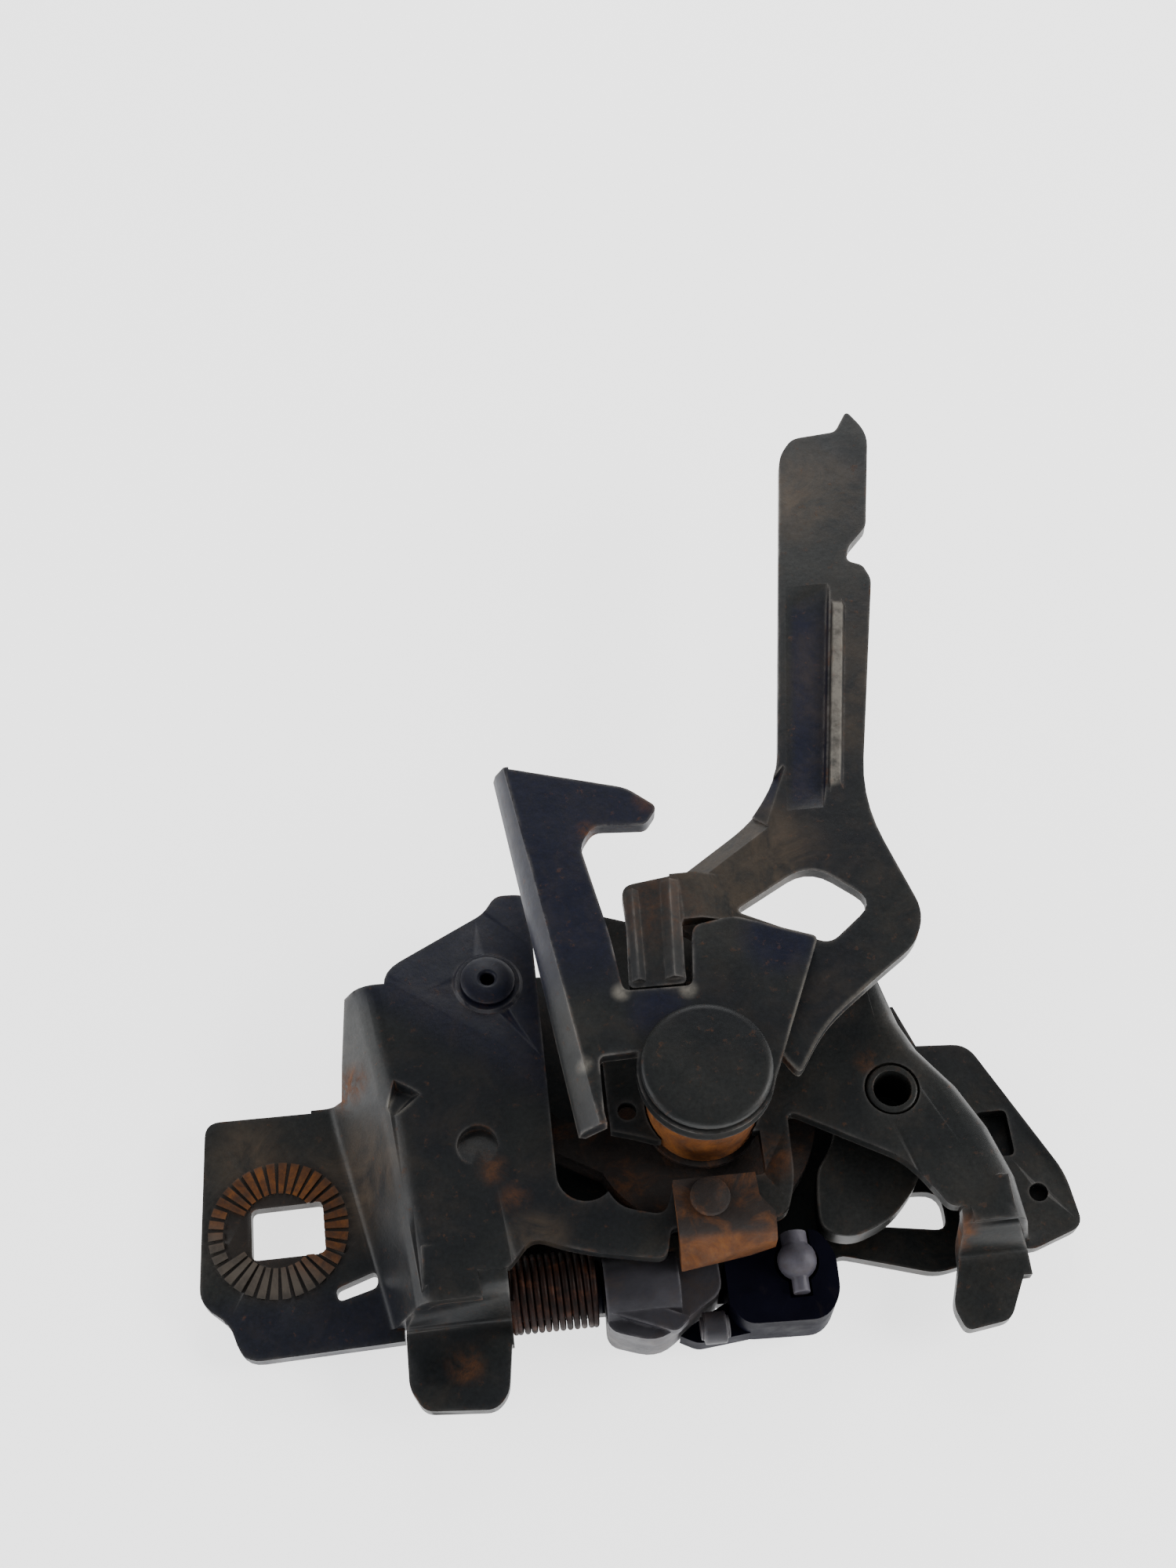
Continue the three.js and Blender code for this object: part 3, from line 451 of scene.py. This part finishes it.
def all_over(g):
    """1 on everything more than a millimetre in front of the back plate's rear face."""
    return g.past((0, 0, 0), FRONT, 0, 1)


def base_blue_shade(g):
    """Painted blue shade and sky reflection: the upper left of the face, beyond its crease, and
    more faintly the lower left ear.
    """
    across_crease = (0.588, 0.807, 0)
    upper = g.times(g.past(shifted(STUD, -37, 10), across_crease, -1, 7),
                    g.past(shifted(STUD, -14, 0), LEFT, 0, 4))
    ear = g.times(g.past(shifted(RING, 0, -8), LEGWARD, 0, 6),
                  g.past(shifted(RING, 20, 0), LEFT, 0, 6))
    return g.most(upper, g.times(ear, 0.6))


def base_dust(g):
    """The foot of the left wall, the left ear's upper corner, and the lip by the coil spring."""
    wall = g.near(shifted(RING, 12, 6), 2, 13)
    corner = g.near(shifted(RING, -4, 12), 1, 10)
    lip = g.near(shifted(STUD, -27, -19), 1, 6)
    return g.most(wall, corner, lip)


def base_highlight(g):
    """Painted highlights on edges in two places at the left of the face."""
    high = g.near(shifted(STUD, -48, 4.6), 0.5, 2.4)
    low = g.near(shifted(STUD, -45.4, 3.4), 0.5, 2.6)
    return g.times(g.most(high, low), g.edge(1.0, 8.0))


def ring_rust(g, colour):
    """Turns the tops of the teeth round the adjusting hole orange, paler on the side towards the
    legs, and darkens the ring round them.
    """
    area = g.near(RING, 9.5, 12.5)
    colour = g.mix(g.times(area, 0.45), colour, RING_DARK)
    tops = g.times(area, g.past((0, 0, TEETH_Z), FRONT, -0.2, 0.2))
    patchy = g.ramp(g.noise(200, 8, 0.7, 0.5), (0.34, 0.25), (0.56, 1.0))
    below = g.past(RING, (-0.5, -1, 0), -1, 7)
    crust = g.mix(below, rust_colour(g), RING_PALE)
    return g.mix(g.times(tops, patchy), colour, crust)


def hook_blue_shade(g):
    """Painted blue shade and sky reflection on the hook's arm and a patch at the plate's upper
    right, and a painted shadow below the arm.
    """
    arm = g.times(g.past(shifted(STUD, 0, 11), TIPWARD, 0, 12),
                  g.past(shifted(STUD, 2, 0), LEFT, 0, 5))
    patch = g.near(shifted(STUD, 14, 20), 3, 8)
    below = g.near(shifted(STUD, -6, 9.6), 2, 6)
    return g.most(arm, patch, below)


def hook_highlight(g):
    """Painted highlights: glints at three corners, and along the edges of the hook's right side.
    """
    corners = ((-11.3, 13.4, 2.0), (-1.1, 12.8, 2.0), (-17.9, 2.4, 1.8))
    glints = [g.near(shifted(STUD, x, y), 0.1, reach) for x, y, reach in corners]
    right = g.past(shifted(STUD, 11, 0), RIGHT, 0, 2)
    return g.most(*glints, g.times(right, g.edge(0.9, 6.0)))


def lever_valley_shade(g):
    """Painted blue shade in the valley pressed in the lever's stem."""
    low = g.past(shifted(STUD, 0, 42), TIPWARD, 0, 5)
    high = g.past(shifted(STUD, 0, 88), LEGWARD, 0, 10)
    valley = g.past((0, 0, LEVER_TOP), REAR, 0.03, 0.3)
    return g.times(low, high, valley)


def lever_dust(g):
    """The lever's tip, the right side of its stem, and its branch beside the eye."""
    tip = g.near(shifted(STUD, 33, 106), 3, 13)
    side = g.near(shifted(STUD, 37, 66), 3, 20)
    branch = g.near(shifted(STUD, 11, 34), 6, 17)
    return g.most(tip, g.times(side, 0.6), branch)


def lever_highlight(g):
    """Painted highlights: the ridge beside the valley, and the curved edge to the right of the
    stud.
    """
    ridge = g.times(g.past((0, 0, LEVER_TOP), FRONT, 0.25, 0.7),
                    g.past(shifted(STUD, 0, 44), TIPWARD, 0, 4))
    curve = g.times(g.near(shifted(STUD, 18, 8), 9, 14), g.edge(1.2, 6.0))
    return g.most(ridge, curve)


def bracket_front_dark(g):
    """Where the bracket goes near black: its front face."""
    return g.past((0, 0, BRACKET_TOP), FRONT, -1.8, -0.5)


# ---- dressing the CAD nodes ---------------------------------------------------------------

SLIVER = 0.002  # mm, points closer than this are joined before the edges are rounded
SLIVERS = {"base_plate": 0.12}  # mm, nodes with coarser slivers than that
FLAT_ANGLE, HARD_ANGLE = 0.3, 32  # degrees, faces joined below the first, rounded above the second
EDGE_STEPS = 3
EDGES = (  # mm that hard edges are rounded by, and the nodes that it is done to
    (1.5, ["cable_holder"]),
    (0.7, ["cable_cover"]),
    (0.6, ["pawl", "claw"]),
    (0.55, ["hook_plate", "safety_lever"]),
    (0.5, ["stop_bracket"]),
    (0.45, ["base_plate"]),
    (0.4, ["back_plate", "claw_buffer", "spring_pin"]),
    (0.35, ["main_stud", "cable_ferrule", "hollow_rivet"]),
    (0.3, ["cable_nipple"]),
    (0.2, ["collar_washer", "pivot_collar", "stop_rivet", "pawl_stud", "claw_bush_rear",
           "claw_bush_front", "pawl_bush", "rivet_spacer", "lever_rivet_lower",
           "lever_rivet_upper"]),
)


def soften(o, width, join):
    """Rounds a node's hard edges without moving its mesh. Points closer than join are taken as
    one, which closes slivers that the rounding would turn inside out."""
    o.data.polygons.foreach_set("use_smooth", [True] * len(o.data.polygons))
    weld = o.modifiers.new("weld", "WELD")
    weld.merge_threshold = join
    flat = o.modifiers.new("flats", "DECIMATE")
    flat.decimate_type = "DISSOLVE"
    flat.angle_limit = math.radians(FLAT_ANGLE)
    bevel = o.modifiers.new("edges", "BEVEL")
    bevel.width = width
    bevel.segments = EDGE_STEPS
    bevel.limit_method = "ANGLE"
    bevel.angle_limit = math.radians(HARD_ANGLE)
    bevel.harden_normals = True
    normals = o.modifiers.new("normals", "WEIGHTED_NORMAL")
    normals.weight = 100
    normals.keep_sharp = True


def soften_all():
    for width, names in EDGES:
        for name in names:
            soften(nodes[name], width * MM, SLIVERS.get(name, SLIVER) * MM)


def paint(material, *names):
    for name in names:
        nodes[name].data.materials.clear()
        nodes[name].data.materials.append(material)


def dress_base():
    spots = [
        (shifted(RING, 12.4, 20.4), 1, 4.5, 0.9),
        (shifted(RING, 34, 2), 0.5, 3.5, 0.5),
        (shifted(RING, 37, -3), 0.5, 3.5, 0.4),
        (shifted(RING, 27.6, -24.5), 0.5, 4, 0.6),
        (shifted(PAWL_AXIS, 7.6, -22.4), 0.3, 2.5, 0.8),
        (shifted(PAWL_AXIS, -3, 5), 0.5, 3, 0.5),
        (shifted(STUD, 9.6, -10), 1, 5, 0.55),
    ]
    paint(painted_steel("base_coat", rust=0.74, dust=0.16, bare_and_highlight=0.32, spots=spots, blue_shade=base_blue_shade,
                        tan=base_dust, highlight=base_highlight, over=ring_rust), "base_plate")


def dress_catch():
    """The safety hook and its lever."""
    spots = [(shifted(STUD, -13.5, 41.5), 0.5, 2.5, 0.8), (shifted(STUD, -3.5, 46), 0.5, 3, 0.4)]
    paint(painted_steel("hook_coat", rust=0.76, dust=0.14, bare_and_highlight=0.8, spots=spots, blue_shade=hook_blue_shade,
                        highlight=hook_highlight), "hook_plate")
    spots = [(shifted(STUD, -4, 27), 3, 9, 0.3)]
    paint(painted_steel("lever_coat", rust=0.74, dust=0.22, bare_and_highlight=0.6, spots=spots,
                        blue_shade=lever_valley_shade, tan=lever_dust, highlight=lever_highlight), "safety_lever")


def dress_coated():
    """The other coated pieces."""
    paint(painted_steel("back_coat", rust=0.68, dust=0.4, bare_and_highlight=0.5), "back_plate")
    paint(painted_steel("stud_coat", rust=0.84, dust=0.10, bare_and_highlight=0.05), "main_stud")
    # the hollow rivet gets the painted blue shade and sky reflection all over
    paint(painted_steel("rivet_coat", rust=0.76, dust=0.1, bare_and_highlight=0.1, blue_shade=all_over),
          "hollow_rivet")
    paint(painted_steel("pin_coat", rust=0.68, dust=0.2, bare_and_highlight=0.1),
          "pawl_stud", "lever_rivet_lower", "lever_rivet_upper")
    # the pawl's full share of pale edges is partly the painted highlight along its arc
    paint(painted_steel("pawl_coat", rust=0.70, dust=0.3, bare_and_highlight=1.0), "pawl")


def dress_rusted():
    paint(rusted_steel("collar_rust", dark=0.12, kept=-0.05, lively=1.35), "pivot_collar")
    paint(rusted_steel("washer_rust", dark=0.9, dirty=all_over), "collar_washer")
    paint(rusted_steel("bracket_rust", dark=0.3, dirty=bracket_front_dark, lively=0.9),
          "stop_bracket")
    paint(rusted_steel("stop_rivet_rust", dark=0.8, dirty=all_over), "stop_rivet")
    paint(rusted_steel("claw_rust", dark=0.9, kept=0.10, dirty=all_over, lively=0.8), "claw")


def dress_small():
    """Bushes, castings and mouldings."""
    paint(bearing_steel("bearing"), "claw_bush_rear", "claw_bush_front", "pawl_bush",
          "rivet_spacer")
    paint(zinc_casting("casting"), "cable_holder", "cable_ferrule")
    paint(zinc_casting("nipple_casting", pale=3.4), "cable_nipple")
    paint(black_plastic("moulding"), "cable_cover", "claw_buffer", "spring_pin")


# ---- springs ------------------------------------------------------------------------------


def wire_piece(name, points, radius, body, material, node):
    curve = bpy.data.curves.new(name, "CURVE")
    curve.dimensions = "3D"
    curve.bevel_depth = radius
    curve.bevel_resolution = 5
    curve.use_fill_caps = True
    spline = curve.splines.new("POLY")
    spline.points.add(len(points) - 1)
    for point, place in zip(spline.points, points):
        point.co = (*place, 1)
    spline.use_smooth = True
    o = bpy.data.objects.new(name, curve)
    bpy.context.scene.collection.objects.link(o)
    curve.materials.append(material)
    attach(o, body)
    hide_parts(node)


def helix(origin, axis, side, radius, turns, length, start, closed, steps=36):
    """Points of a coil along axis. It starts at an angle of start radians from side, closed is
    how many turns at each end lie together, and steps is how many points a turn has."""
    other = axis.cross(side)
    total = int(steps * turns)
    points = []
    for i in range(total + 1):
        turned = turns * i / total
        open_part = min(max((turned - closed) / (turns - 2 * closed), 0), 1)
        angle = start + 2 * math.pi * turned
        around = side * (radius * math.cos(angle)) + other * (radius * math.sin(angle))
        points.append(origin + axis * (length * open_part) + around)
    return points


def coil(name, node, axis, side, thickness, turns, material, start=0.0, closed=0.0):
    """A spring as long along axis and as wide along side as node is. Its wire is thickness mm."""
    low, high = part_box(node)
    axis, side, r = Vector(axis), Vector(side), thickness / 2 * MM
    length = axis.dot(high - low) - 2 * r
    radius = side.dot(high - low) / 2 - r
    origin = (low + high) / 2 - axis * (length / 2)
    points = helix(origin, axis, side, radius, turns, length, start, closed)
    wire_piece(name, points, r, "base", material, node)


def add_springs():
    wire = spring_wire("spring_wire")
    coil("cable_spring", "coil_spring", RIGHT, FRONT, 0.94, 12.5, wire, start=0.4, closed=0.6)
    coil("hook_spring", "catch_spring", FRONT, RIGHT, 1.2, 2.5, wire)
    paint(spring_wire("torsion_wire"), "pawl_spring")


# ---- assembly -----------------------------------------------------------------------------

add_camera()
add_lights()
add_floor()
dress_base()
dress_catch()
dress_coated()
dress_rusted()
dress_small()
soften_all()
add_springs()
